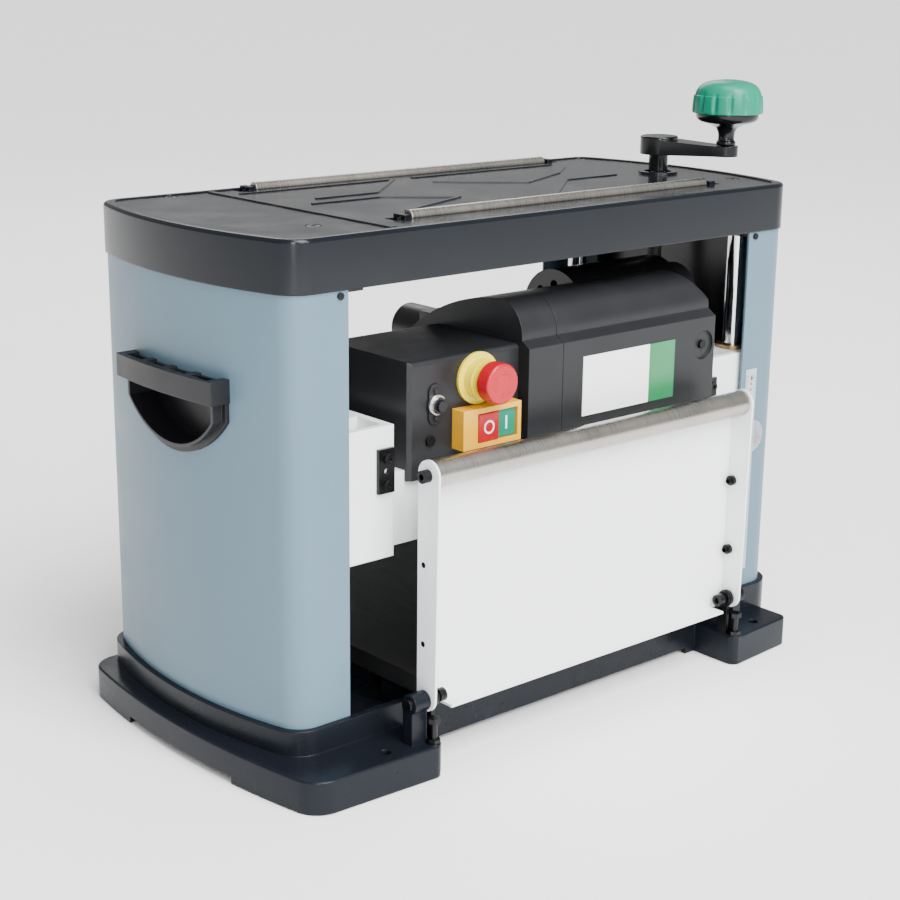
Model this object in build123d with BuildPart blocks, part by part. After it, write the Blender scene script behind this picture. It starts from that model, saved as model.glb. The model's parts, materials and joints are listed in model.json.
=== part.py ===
"""Thickness planer: base, bed, side covers, top cap, folding tables and a height-adjustable planing head.

Millimetres, +Z up. The infeed side faces -Y, the crank stands at the +X end, and the origin is
at the middle of the footprint on the floor.
"""
import os
from math import atan2, cos, degrees, hypot, pi, radians, sin

from build123d import *

os.makedirs("parts", exist_ok=True)

# ---------------------------------------------------------------- driving dimensions
half_front = 256.4        # half length of the straight front and back, before the corner radius
half_depth = 124.0        # half depth of the cap
end_bow = 20.2            # how far the bowed ends stand out past the corners
plan_corner = 22.4        # plan corner radius

flange_top = 26.0         # top of the base flange and its feet
rim_top = 44.6            # top of the base rim
cover_top = 357.4         # top of the side covers, bottom of the cap
cap_top = 395.0
cap_skin = 2.5
sheet = 2.0               # steel sheet of covers, inner panels and tables
window_x = 209.4          # inner edges of the cover wraps

bed_top = 66.0
planing_half = 165.0      # half of the clear planing width
cut_z = 161.0             # lowest point of the cutting circle, head at its shown height
head_front = 117.0        # front faces of the corner blocks
block_bottom = 156.0
block_top = 254.5
beam_face = 113.0         # front and rear faces of the head's cross beams
deck_top = 217.0          # top of the head's deck
wall_outer = 177.0        # outer faces of the head's side walls
block_outer = 246.0
block_inner_y = 78.0      # inner faces of the corner blocks along Y

column_x, column_y, column_d = 227.0, 95.5, 18.0
screw_x, screw_y, screw_d = 222.0, -6.0, 12.0
run_clear = 0.05          # radial running clearance of shafts in bushes

cutter_r = 22.0
cutting_r = 24.0
cutter_z = cut_z + cutting_r
feed_y, feed_r = 54.0, 16.0
feed_z = cut_z - 1.0 + feed_r
journal_r = 6.0
feed_float = 3.0          # sprung lift of the feed rollers

motor_y, motor_z, motor_r = -50.0, 298.0, 35.0
motor_x0, motor_x1 = 56.0, 174.0
belt_x0, belt_x1 = 183.0, 193.0
motor_pulley_r, cutter_pulley_r = 18.0, 14.0

housing_front = 129.0     # front plane of the black housing
housing_bottom = 209.0
crest_z = 328.0           # highest line of the black housing
box_front = 118.0         # front plane of the switch box
box_left = -152.0
stop_x, stop_z = -87.5, 277.5
seam_left = -45.0         # left end of the middle housing section
seam_mid = -9.2           # joint between the middle and the front housing
housing_right = 164.0

table_face = 148.0        # working surface of a folded table, distance from the middle
table_edge = 170.5        # free edges of its side cheeks, which taper towards the hinge
cheek_foot = 168.2
table_half = 168.2
table_low, table_high = 48.8, 226.5
roller_y, roller_r = 158.7, 10.3
pivot_y, pivot_z = 157.5, 57.5

top_roller_r = 5.2
top_roller_z = 394.4
top_roller_front, top_roller_rear = -82.0, 112.0
top_roller_x0, top_roller_x1 = -124.0, 194.0

arm_angle = -67.0         # direction of the crank arm in plan
arm_reach = 60.0
crank_x, crank_y = screw_x, screw_y


# ---------------------------------------------------------------- helpers
def bowed_outline(height, grow):
    """Plan outline of the machine at a height: straight front and back, bowed ends."""
    x, y = half_front + grow, half_depth + grow
    with BuildSketch(Plane.XY.offset(height)) as plan:
        with BuildLine():
            Line((-x, -y), (x, -y))
            ThreePointArc((x, -y), (x + end_bow, 0), (x, y))
            Line((x, y), (-x, y))
            ThreePointArc((-x, y), (-x - end_bow, 0), (-x, -y))
        make_face()
        fillet(plan.vertices(), max(plan_corner + grow, 1))
    return plan.sketch


def bar(x0, x1, y0, y1, z0, z1, mode=Mode.ADD):
    """Block between two corners."""
    with Locations(((x0 + x1) / 2, (y0 + y1) / 2, (z0 + z1) / 2)):
        return Box(abs(x1 - x0), abs(y1 - y0), abs(z1 - z0), mode=mode)


def rod_x(x0, x1, y, z, radius, mode=Mode.ADD):
    """Round bar along X."""
    with Locations(Location(((x0 + x1) / 2, y, z), (0, 90, 0))):
        return Cylinder(radius, abs(x1 - x0), mode=mode)


def rod_y(y0, y1, x, z, radius, mode=Mode.ADD):
    """Round bar along Y."""
    with Locations(Location((x, (y0 + y1) / 2, z), (90, 0, 0))):
        return Cylinder(radius, abs(y1 - y0), mode=mode)


def rod_z(z0, z1, x, y, radius, mode=Mode.ADD):
    """Round bar along Z."""
    with Locations((x, y, (z0 + z1) / 2)):
        return Cylinder(radius, abs(z1 - z0), mode=mode)


def belt_sketch(x, wheels, grow):
    """Outline round several wheels (y, z, radius) on the plane at x, as a tangent hull."""
    side = Plane(origin=(x, 0, 0), x_dir=(0, 1, 0), z_dir=(1, 0, 0))
    with BuildSketch(side) as loop:
        for y, z, radius in wheels:
            with Locations((y, z)):
                Circle(radius + grow)
        make_hull()
    return loop.sketch


def keep(builder, name):
    """Label a finished piece and write it."""
    builder.part.label = name
    export_step(builder.part, f"parts/{name}.step")


corners = [(sx, sy) for sx in (-1, 1) for sy in (-1, 1)]
sides = {"left": -1, "right": 1}
ends = {"front": -1, "rear": 1}

# ---------------------------------------------------------------- base
foot_inner = 160.9        # inner edges of the feet
beam_y = half_depth + 2.8
skirt_top = 25.5          # top of the skirt round the feet
skirt_under = 21.5        # underside of the skirt's flat top
skirt_wall = 4.0
bench_hole_x, bench_hole_y, bench_hole_r = 203.3, 155.0, 4.25
pad_x, pad_y = 212.0, 137.0
stop_bolt_x, stop_bolt_y = 166.6, 165.8


def rounded_face(height, outline, roundings):
    """Plan face from points, the first three on an arc, with some of its corners rounded."""
    with BuildSketch(Plane.XY.offset(height)) as plan:
        with BuildLine():
            ThreePointArc(*outline[:3])
            Polyline(outline[2:] + outline[:1])
        make_face()
        for (x, y), radius in roundings:
            near = plan.vertices().sort_by(lambda v: hypot(v.X - x, v.Y - y))[0:1]
            fillet(near, radius)
    return plan.sketch


def foot_box(height, x0, x1, y0, y1, shrink):
    """Plan of a small foot; the edge at y0 lies under the rim."""
    sx, sy = (1 if x1 > 0 else -1), (1 if y1 > 0 else -1)
    with BuildSketch(Plane.XY.offset(height)) as plan:
        with BuildLine():
            Polyline((x0 + sx * shrink, y0), (x1 - sx * shrink, y0), (x1 - sx * shrink, y1 - sy * shrink),
                     (x0 + sx * shrink, y1 - sy * (shrink - 6)), (x0 + sx * shrink, y0))
        make_face()
        outer = plan.vertices().filter_by(lambda v: abs(v.Y) > abs(y0) + 9)
        fillet(outer, 7.5 - shrink)
    return plan.sketch


def skirt_plans(height, shrink):
    """Plans of what stands outside the rim: two end skirts, one with a large foot, and small feet."""
    x0, x1, y0, y1 = -foot_inner - shrink, -274 + shrink, -172 + shrink, 126.8 - shrink
    left = [(x1, y0 + 5), (-292 + shrink, -10), (-279 + shrink, y1), (-230, y1), (-230, -100), (x0, -100), (x0, y0)]
    right = [(282 - shrink, -98 + shrink), (292 - shrink, 5), (279 - shrink, y1), (230, y1), (230, -98 + shrink)]
    return [
        rounded_face(height, left, [(left[0], 22 - shrink), (left[2], 22 - shrink), (left[6], 7.5 - shrink)]),
        rounded_face(height, right, [(right[0], 12 - shrink), (right[2], 22 - shrink)]),
        foot_box(height, foot_inner, 237, -100, -165.5, shrink),
        foot_box(height, foot_inner, 226, 100, 166, shrink),
        foot_box(height, -foot_inner, -226, 100, 166, shrink),
    ]


with BuildPart() as base_frame:
    for plan in skirt_plans(0.8, 0):
        extrude(plan, amount=skirt_top - 0.8)
    fillet(base_frame.faces().group_by(Axis.Z)[-1].edges(), 1.5)
    # rim, open inside above the floor
    extrude(bowed_outline(0.8, 3.0), amount=rim_top - 0.8)
    extrude(bowed_outline(flange_top, -1.5), amount=rim_top, mode=Mode.SUBTRACT)
    # hollow underside with arches at the ends and at front and rear
    for plan in skirt_plans(0, skirt_wall):
        extrude(plan, amount=skirt_under, mode=Mode.SUBTRACT)
    extrude(bowed_outline(0, -1.5), amount=flange_top - 4, mode=Mode.SUBTRACT)
    bar(-300, 300, -84, 52, 0, 6, mode=Mode.SUBTRACT)
    bar(-150, 150, -200, 200, 0, 6, mode=Mode.SUBTRACT)
    for sx, sy in corners:
        # column sockets, bed posts, bench bolt bosses, stop bolt bosses and the pads' seats
        rod_z(flange_top - 3, 42, sx * column_x, sy * column_y, 16)
        rod_z(20, 42, sx * column_x, sy * column_y, column_d / 2, mode=Mode.SUBTRACT)
        bar(sx * 118, sx * 150, sy * 84, sy * 120, flange_top - 3, bed_top - 4)
        rod_z(4, 24, sx * bench_hole_x, sy * bench_hole_y, 9)
        rod_z(0, 30, sx * bench_hole_x, sy * bench_hole_y, bench_hole_r, mode=Mode.SUBTRACT)
        rod_z(4, skirt_top - 1, sx * pad_x, sy * pad_y, 8)
        rod_z(0, 12, sx * pad_x, sy * pad_y, 4, mode=Mode.SUBTRACT)
        rod_z(4, skirt_top + 0.5, sx * stop_bolt_x, sy * stop_bolt_y, 5.3)
        rod_z(2, 30, sx * stop_bolt_x, sy * stop_bolt_y, 2.5, mode=Mode.SUBTRACT)
        # hinge lugs outside the table cheeks
        lug = 183.0 if sx < 0 else 178.0
        bar(sx * 169.0, sx * lug, sy * (pivot_y - 7.5), sy * (pivot_y + 3), skirt_top - 1, pivot_z)
        rod_x(sx * 169.0, sx * lug, sy * pivot_y, pivot_z, 7.5)
        rod_x(sx * 160, sx * 190, sy * pivot_y, pivot_z, 3.0, mode=Mode.SUBTRACT)
    # front and rear beams carry the bed
    for sy in (-1, 1):
        bar(-196, 196, sy * (beam_y - 6), sy * (beam_y - 1), flange_top - 3, rim_top)
    for sx in (-1, 1):
        rod_z(flange_top - 6, 34, sx * screw_x, screw_y, 15)
        rod_z(0, 60, sx * screw_x, screw_y, 11, mode=Mode.SUBTRACT)
keep(base_frame, "base_frame")

with BuildPart() as rubber_pads:
    for sx, sy in corners:
        rod_z(0, 4, sx * pad_x, sy * pad_y, 8)
        rod_z(4, 12, sx * pad_x, sy * pad_y, 4)
keep(rubber_pads, "rubber_pads")

bed_half, bed_depth = 158.0, 144.0
with BuildPart() as bed_plate:
    bar(-bed_half, bed_half, -bed_depth, bed_depth, bed_top - 14, bed_top)
    fillet(bed_plate.edges().filter_by(Axis.X).sort_by(Axis.Z)[-2:], 3)
    bar(-bed_half + 3, bed_half - 3, -bed_depth + 3, bed_depth - 3, 40, bed_top - 4, mode=Mode.SUBTRACT)
keep(bed_plate, "bed_plate")

# ---------------------------------------------------------------- side covers and what they hide
grip_y0, grip_y1 = -65.0, 55.0
grip_top, grip_low = 291.5, 231.0
grip_mid = (grip_y0 + grip_y1) / 2
cover_screw_x, cover_screw_z = 216.5, 353.6
cap_screw_places = [(-201, -72), (-201, 112), (245, -71), (245, 112)]
covers = []


def grip_outline(x, shrink):
    """D outline of a handle's recess, flat on top and round below, on the plane at x."""
    side = Plane(origin=(x, 0, 0), x_dir=(0, 1, 0), z_dir=(1, 0, 0))
    y0, y1 = grip_y0 + shrink, grip_y1 - shrink
    low = grip_low + shrink
    with BuildSketch(side) as outline:
        with BuildLine():
            Line((y0, grip_top - shrink), (y1, grip_top - shrink))
            Line((y1, grip_top - shrink), (y1, 262))
            ThreePointArc((y1, 262), (grip_mid, low), (y0, 262))
            Line((y0, 262), (y0, grip_top - shrink))
        make_face()
    return outline.sketch


for side_name, sx in sides.items():
    with BuildPart() as cover:
        extrude(bowed_outline(flange_top, -1.5), amount=cover_top - flange_top)
        extrude(bowed_outline(flange_top, -1.5 - sheet), amount=cover_top, mode=Mode.SUBTRACT)
        bar(-sx * 400, sx * window_x, -200, 200, 0, 400, mode=Mode.SUBTRACT)
        extrude(grip_outline(sx * 240, 4), amount=sx * 60, mode=Mode.SUBTRACT)
        for sy in (-1, 1):
            rod_y(sy * 110, sy * 130, sx * cover_screw_x, cover_screw_z, 1.6, mode=Mode.SUBTRACT)
    keep(cover, f"{side_name}_cover")
    covers.append(cover.part)


def handle(sx):
    """Recessed carrying handle: bowed flange, cup behind it and a pocketed grip bar above."""
    with BuildPart() as shell:
        extrude(grip_outline(sx * 250, 0), amount=sx * 40)
        extrude(bowed_outline(200, 1.2), amount=120, mode=Mode.INTERSECT)
        extrude(bowed_outline(200, -1.5), amount=120, mode=Mode.SUBTRACT)
        extrude(grip_outline(sx * 255.6, 4), amount=sx * 25)
        extrude(grip_outline(sx * 258, 6.5), amount=sx * 40, mode=Mode.SUBTRACT)
    with BuildPart() as grip:
        bar(sx * 262, sx * 295, grip_y0 - 1, grip_y1 + 1, 276, 293)
        extrude(bowed_outline(190, 13.0), amount=130, mode=Mode.INTERSECT)
        for step in range(4):
            y = grip_y0 + 6 + step * 28
            bar(sx * 266, sx * 283.5, y, y + 22, 280, 300, mode=Mode.SUBTRACT)
        add(shell.part)
        for cover_solid in covers:
            add(cover_solid, mode=Mode.SUBTRACT)
    return grip.part


handles = [handle(sx) for sx in (-1, 1)]
with BuildPart() as carry_handles:
    for solid in handles:
        add(solid)
keep(carry_handles, "carry_handles")

with BuildPart() as side_frames:
    for sx in (-1, 1):
        # upright panel inside the cover
        bar(sx * 251, sx * 253, -92, 92, flange_top, 353.4)
    # plates that tie the column tops, reaching further in on the side without the belt
    extrude(bowed_outline(353.4, -1.5 - sheet), amount=4)
    bar(-190, 207, -200, 200, 353, 358, mode=Mode.SUBTRACT)
    for sy in (-1, 1):
        bar(-210, 210, sy * 114, sy * 140, 353, 358, mode=Mode.SUBTRACT)
    for sx, sy in corners:
        rod_z(353, 370, sx * column_x, sy * column_y, 4, mode=Mode.SUBTRACT)
    for sx in (-1, 1):
        rod_z(353, 370, sx * screw_x, screw_y, 9, mode=Mode.SUBTRACT)
    for x, y in cap_screw_places:
        rod_z(353, 370, x, y, 2.5, mode=Mode.SUBTRACT)
keep(side_frames, "side_frames")

with BuildPart() as guide_columns:
    for sx, sy in corners:
        rod_z(20, 353.4, sx * column_x, sy * column_y, column_d / 2)
        rod_z(353.4, 362, sx * column_x, sy * column_y, 4)
    chamfer(guide_columns.edges().group_by(Axis.Z)[-1], 0.8)
keep(guide_columns, "guide_columns")

with BuildPart() as screw_bearings:
    for sx in (-1, 1):
        rod_z(26, 34, sx * screw_x, screw_y, 11)
        rod_z(353.4, 361.4, sx * screw_x, screw_y, 9)
        rod_z(353.4 + 4, 359.4, sx * screw_x, screw_y, 13)
        rod_z(0, 400, sx * screw_x, screw_y, screw_d / 2 + run_clear, mode=Mode.SUBTRACT)
keep(screw_bearings, "screw_bearings")

with BuildPart() as thickness_scale:
    bar(214.5, 228.5, -(half_depth - 1.5), -(half_depth - 1.5) - 0.5, 60, 240)
keep(thickness_scale, "thickness_scale")

# ---------------------------------------------------------------- top cap and its rollers
ridge_runs = [
    ((-150, 92), (4, 92)), ((4, 92), (-58, 36)), ((-58, 36), (-118, 36)),
    ((-138, 14), (-72, 14)), ((-72, 14), (-22, -22)), ((-22, -22), (-104, -56)),
    ((24, 92), (186, 92)), ((22, 62), (84, 12)), ((84, 12), (150, 44)),
    ((150, 44), (184, 72)), ((8, -54), (52, -54)), ((52, -54), (122, 6)), ((122, 6), (182, 6)),
]

with BuildPart() as top_cap:
    extrude(bowed_outline(cover_top, 0), amount=cap_top - cover_top)
    fillet(top_cap.faces().sort_by(Axis.Z)[-1].edges(), 2.9)
    extrude(bowed_outline(cover_top, -cap_skin), amount=cap_top - cap_skin - cover_top, mode=Mode.SUBTRACT)
    extrude(bowed_outline(cap_top - 1.0, -7), amount=5, mode=Mode.SUBTRACT)
    bar(-165.5, -160.5, -114, 114, cap_top - 2, cap_top)
    for y in (top_roller_front, top_roller_rear):
        # roller trough and its end pockets
        bar(-143, 211, y - 8.5, y + 8.5, 386.6, cap_top - 1)
        bar(-141, 209, y - 6.5, y + 6.5, 388.2, cap_top + 1, mode=Mode.SUBTRACT)
        for x in (top_roller_x0 - 8, top_roller_x1 + 2):
            bar(x, x + 6, y - 6.5, y + 6.5, 388.2, 397)
        rod_x(top_roller_x0 - 8, top_roller_x1 + 8, y, top_roller_z, 2 + run_clear, mode=Mode.SUBTRACT)
    for start, stop in ridge_runs:
        run = hypot(stop[0] - start[0], stop[1] - start[1])
        turn = degrees(atan2(stop[1] - start[1], stop[0] - start[0]))
        middle = ((start[0] + stop[0]) / 2, (start[1] + stop[1]) / 2, cap_top - 0.9)
        with Locations(Location(middle, (0, 0, turn))):
            Box(run, 3.0, 1.6)
    for x, y in cap_screw_places:
        rod_z(357.4, cap_top - 2, x, y, 8)
        rod_z(cap_top - 5, cap_top, x, y, 6, mode=Mode.SUBTRACT)
        rod_z(350, cap_top, x, y, 2.5, mode=Mode.SUBTRACT)
    rod_z(cap_top - 2, cap_top + 1, crank_x, crank_y, 17)
    rod_z(350, 410, crank_x, crank_y, 12, mode=Mode.SUBTRACT)
keep(top_cap, "top_cap")

with BuildPart() as frame_fasteners:
    # cap screws in their counterbores
    for x, y in cap_screw_places:
        rod_z(350.4, cap_top - 5, x, y, 2.5)
        rod_z(cap_top - 5, cap_top - 1.2, x, y, 5)
        rod_z(cap_top - 3.6, cap_top, x, y, 2.2, mode=Mode.SUBTRACT)
    for sx, sy in corners:
        # nuts on the column tops
        with BuildSketch(Plane.XY.offset(357.4)):
            with Locations((sx * column_x, sy * column_y)):
                RegularPolygon(7.5, 6)
                Circle(4, mode=Mode.SUBTRACT)
        extrude(amount=5)
        # cover screws close under the cap
        rod_y(sy * (half_depth - 1.5), sy * half_depth, sx * cover_screw_x, cover_screw_z, 2.6)
        rod_y(sy * (half_depth - 3.5), sy * (half_depth - 1.5), sx * cover_screw_x, cover_screw_z, 1.6)
keep(frame_fasteners, "frame_fasteners")

for end_name, y in {"front": top_roller_front, "rear": top_roller_rear}.items():
    with BuildPart() as roller:
        rod_x(top_roller_x0, top_roller_x1, y, top_roller_z, top_roller_r)
        chamfer(roller.edges(), 0.6)
        rod_x(top_roller_x0 - 7, top_roller_x1 + 7, y, top_roller_z, 2)
    keep(roller, f"{end_name}_top_roller")

# ---------------------------------------------------------------- folding tables
screw_rows, screw_row_y = (99.5, 159.5), 154.5
for end_name, sy in ends.items():
    side_plane = Plane(origin=(-table_half, 0, 0), x_dir=(0, 1, 0), z_dir=(1, 0, 0))
    with BuildPart() as table:
        with BuildSketch(side_plane):
            with BuildLine():
                Line((sy * table_face, table_low), (sy * table_face, table_high))
                ThreePointArc(
                    (sy * table_face, table_high), (sy * 159.25, table_high + 11.25), (sy * table_edge, table_high)
                )
                Line((sy * table_edge, table_high), (sy * cheek_foot, 60))
                ThreePointArc((sy * cheek_foot, 60), (sy * 165.3, 52.2), (sy * 158, table_low))
                Line((sy * 158, table_low), (sy * table_face, table_low))
            make_face()
        extrude(amount=2 * table_half)
        inner_x = table_half - sheet
        bar(-inner_x, inner_x, sy * (table_face + sheet), sy * 190, 40, 250, mode=Mode.SUBTRACT)
        bar(-inner_x, inner_x, sy * 140, sy * 190, table_high - 14, 250, mode=Mode.SUBTRACT)
        bar(-150, 150, sy * table_face, sy * 166, table_low, table_low + sheet)
        for z in screw_rows:
            rod_x(-200, 200, sy * screw_row_y, z, 2.2, mode=Mode.SUBTRACT)
        rod_x(-200, 200, sy * pivot_y, pivot_z, 3 + run_clear, mode=Mode.SUBTRACT)
        rod_x(-200, 200, sy * roller_y, table_high, 3, mode=Mode.SUBTRACT)
    keep(table, f"{end_name}_table")

    with BuildPart() as roller:
        half = table_half - sheet - 0.5
        rod_x(-half, half, sy * roller_y, table_high, roller_r)
        rod_x(-half, half, sy * roller_y, table_high, 3 + run_clear, mode=Mode.SUBTRACT)
        chamfer(roller.edges().group_by(Axis.X)[0] + roller.edges().group_by(Axis.X)[-1], 0.5)
    keep(roller, f"{end_name}_table_roller")

    with BuildPart() as hardware:
        # roller axle with its socket heads, then the cheek screws
        rod_x(-table_half, table_half, sy * roller_y, table_high, 3)
        for sx in (-1, 1):
            rod_x(sx * table_half, sx * (table_half + 6), sy * roller_y, table_high, 4.8)
            rod_x(sx * (table_half + 2), sx * (table_half + 9), sy * roller_y, table_high, 2.4,
                  mode=Mode.SUBTRACT)
            for z in screw_rows:
                rod_x(sx * (table_half - 8), sx * table_half, sy * screw_row_y, z, 2.2)
                rod_x(sx * (table_half - 5), sx * (table_half - 2), sy * screw_row_y, z, 4.2)
                rod_x(sx * (table_half - 9), sx * (table_half - 3.5), sy * screw_row_y, z, 2.0,
                      mode=Mode.SUBTRACT)
    keep(hardware, f"{end_name}_table_hardware")

with BuildPart() as hinge_brackets:
    for sx, sy in corners:
        bar(sx * 161.5, sx * 164.5, sy * (pivot_y - 7), sy * (pivot_y + 2.5), skirt_top, pivot_z)
        rod_x(sx * 161.5, sx * 164.5, sy * pivot_y, pivot_z, 7)
        rod_x(sx * 150, sx * 190, sy * pivot_y, pivot_z, 3, mode=Mode.SUBTRACT)
keep(hinge_brackets, "hinge_brackets")

stop_top = pivot_z - (cheek_foot + 0.1 - pivot_y) - 0.9
with BuildPart() as table_bolts:
    for sx, sy in corners:
        # hinge bolt through bracket, cheek and lug, with its washer and end nut
        rod_x(sx * 152, sx * 180, sy * pivot_y, pivot_z, 3)
        rod_x(sx * 151, sx * 156.5, sy * pivot_y, pivot_z, 5)
        rod_x(sx * 149, sx * 154, sy * pivot_y, pivot_z, 2.5, mode=Mode.SUBTRACT)
        rod_x(sx * 159.5, sx * 161.5, sy * pivot_y, pivot_z, 6.2)
        lug = 183.0 if sx < 0 else 178.0
        rod_x(sx * lug, sx * (lug + 3), sy * pivot_y, pivot_z, 5)
        # stop bolt and its lock nut
        spot = (sx * stop_bolt_x, sy * stop_bolt_y)
        rod_z(4.5, stop_top - 4, *spot, 2.5)
        with BuildSketch(Plane.XY.offset(stop_top - 4)):
            with Locations(spot):
                RegularPolygon(5, 6)
        extrude(amount=4)
        with BuildSketch(Plane.XY.offset(skirt_top + 0.5)):
            with Locations(spot):
                RegularPolygon(5, 6)
        extrude(amount=3.6)
keep(table_bolts, "table_bolts")

# ---------------------------------------------------------------- lift: screws, sprockets, chain, crank
sprocket_r, sprocket_z = 13.0, 13.0
for side_name, sx in sides.items():
    with BuildPart() as lead_screw:
        top = 411 if sx > 0 else 361.4
        rod_z(8, top, sx * screw_x, screw_y, screw_d / 2)
        rod_z(34.3, 37.3, sx * screw_x, screw_y, 8.5)
        rod_z(sprocket_z - 3, sprocket_z + 3, sx * screw_x, screw_y, sprocket_r)
        with BuildSketch(Plane.XY.offset(sprocket_z - 1.5)):
            with Locations((sx * screw_x, screw_y)):
                with PolarLocations(sprocket_r + 0.6, 12):
                    Circle(1.4)
        extrude(amount=3)
    keep(lead_screw, f"{side_name}_lead_screw")

with BuildPart() as sync_chain:
    with BuildSketch(Plane.XY.offset(sprocket_z - 2)):
        for grow, mode in ((18.6, Mode.ADD), (15.6, Mode.SUBTRACT)):
            with Locations((0, screw_y)):
                SlotCenterToCenter(2 * screw_x, 2 * grow, mode=mode)
    extrude(amount=4)
keep(sync_chain, "sync_chain")

arm = (crank_x + arm_reach * cos(radians(arm_angle)), crank_y + arm_reach * sin(radians(arm_angle)))
arm_side = Plane(
    origin=(crank_x, crank_y, 0),
    x_dir=(cos(radians(arm_angle)), sin(radians(arm_angle)), 0),
    z_dir=(sin(radians(arm_angle)), -cos(radians(arm_angle)), 0),
)
with BuildPart() as crank_arm:
    with BuildSketch(Plane.XY.offset(411)):
        with Locations((crank_x, crank_y)):
            Circle(15.6)
        with Locations(arm):
            Circle(10.6)
        make_hull()
    extrude(amount=14)
    # the arm thins towards the knob
    with BuildSketch(arm_side):
        with BuildLine():
            Polyline((-20, 411), (-20, 424.4), (0, 424.2), (arm_reach - 10.6, 421), (arm_reach + 12, 421),
                     (arm_reach + 12, 412.2), (arm_reach - 10.6, 412.2), (0, 411), (-20, 411))
        make_face()
    extrude(amount=30, both=True, mode=Mode.INTERSECT)
    # hub disc above and hub sleeve below
    rod_z(411, 426.5, crank_x, crank_y, 16.3)
    fillet(crank_arm.edges().group_by(Axis.Z)[-1], 1.5)
    rod_z(396.5, 411, crank_x, crank_y, 8.2)
    rod_z(390, 411, crank_x, crank_y, 6, mode=Mode.SUBTRACT)
    # pin that the knob turns on
    rod_z(421, 459, *arm, 4)
keep(crank_arm, "crank_arm")

knob_profile = Plane(origin=(arm[0], arm[1], 0), x_dir=(1, 0, 0), z_dir=(0, -1, 0))
with BuildPart() as knob_base:
    with BuildSketch(knob_profile):
        with BuildLine():
            Line((4 + run_clear, 421.4), (7.6, 421.4))
            ThreePointArc((7.6, 421.4), (8.3, 423.5), (7.0, 425.6))
            Line((7.0, 425.6), (6.9, 429))
            Spline((6.9, 429), (7.6, 433.4), (9.8, 436.6), (17.4, 439.8), (25.2, 442.6), (26.6, 446),
                   tangents=((0, 1), (0, 1)))
            Line((26.6, 446), (26.6, 448.6))
            Line((26.6, 448.6), (4 + run_clear, 448.6))
            Line((4 + run_clear, 448.6), (4 + run_clear, 421.4))
        make_face()
    revolve(axis=Axis(arm + (0,), (0, 0, 1)))
keep(knob_base, "knob_base")

with BuildPart() as knob_cap:
    with BuildSketch(knob_profile):
        with BuildLine():
            Line((0, 448.6), (30.0, 448.6))
            Line((30.0, 448.6), (28.8, 463))
            ThreePointArc((28.8, 463), (25.4, 470.4), (16.4, 475.0))
            Line((16.4, 475.0), (3, 476.8))
            Line((3, 476.8), (0, 476.8))
            Line((0, 476.8), (0, 448.6))
        make_face()
    revolve(axis=Axis(arm + (0,), (0, 0, 1)))
    for flute in range(14):
        turn = 2 * pi * (flute + 0.5) / 14
        rod_z(443, 463, arm[0] + 31.4 * cos(turn), arm[1] + 31.4 * sin(turn), 2.8, mode=Mode.SUBTRACT)
    rod_z(446, 460, *arm, 4 + run_clear, mode=Mode.SUBTRACT)
keep(knob_cap, "knob_cap")

# ---------------------------------------------------------------- head casting, bushes and nuts
with BuildPart() as head_casting:
    for sx, sy in corners:
        bar(sx * planing_half, sx * block_outer, sy * head_front, sy * block_inner_y, block_bottom, block_top)
        bar(sx * 172, sx * 209, sy * 111, sy * 84, 236, block_top, mode=Mode.SUBTRACT)
        rod_z(100, 300, sx * column_x, sy * column_y, 12, mode=Mode.SUBTRACT)
    for sx in (-1, 1):
        bar(sx * planing_half, sx * wall_outer, -block_inner_y, block_inner_y, block_bottom, block_top)
        # ties between front and rear blocks carry the lift nuts
        bar(sx * 208, sx * 236, -block_inner_y, block_inner_y, 204, 222)
        rod_z(150, 260, sx * screw_x, screw_y, 10, mode=Mode.SUBTRACT)
    for sy in (-1, 1):
        bar(-planing_half, planing_half, sy * beam_face, sy * (beam_face - 6), cut_z + 1, 212)
    bar(-planing_half, planing_half, -beam_face, beam_face, 212, deck_top)
    bar(-120, 120, 30, 66, 200, 220, mode=Mode.SUBTRACT)
    for sx in (-1, 1):
        rod_x(sx * 160, sx * 180, 0, cutter_z, 16, mode=Mode.SUBTRACT)
        for sy in (-1, 1):
            bar(sx * 160, sx * 180, sy * (feed_y - 10), sy * (feed_y + 10), 163.2, 200, mode=Mode.SUBTRACT)
keep(head_casting, "head_casting")

with BuildPart() as head_bearings:
    # column bushes, lift nuts and cutterhead bearings
    for sx, sy in corners:
        rod_z(block_bottom, block_top + 3, sx * column_x, sy * column_y, 12)
        rod_z(block_top, block_top + 3, sx * column_x, sy * column_y, 14)
        rod_z(100, 300, sx * column_x, sy * column_y, column_d / 2 + run_clear, mode=Mode.SUBTRACT)
    for sx in (-1, 1):
        rod_z(196, 222, sx * screw_x, screw_y, 10)
        rod_z(222, 227, sx * screw_x, screw_y, 14)
        rod_z(150, 260, sx * screw_x, screw_y, screw_d / 2 + run_clear, mode=Mode.SUBTRACT)
        rod_x(sx * 166, sx * 176, 0, cutter_z, 16)
        rod_x(sx * 160, sx * 180, 0, cutter_z, journal_r + run_clear, mode=Mode.SUBTRACT)
keep(head_bearings, "head_bearings")

bracket_x, bracket_z = 173.7, 222.0
with BuildPart() as bracket_plates:
    for sx in (-1, 1):
        bar(sx * (bracket_x - 7.2), sx * (bracket_x + 7.2), -head_front, -head_front - 3, 205.5, 238.5)
    for sx in (-1, 1):
        rod_y(-head_front - 4, -100, sx * bracket_x, bracket_z, 2.2, mode=Mode.SUBTRACT)

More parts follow.
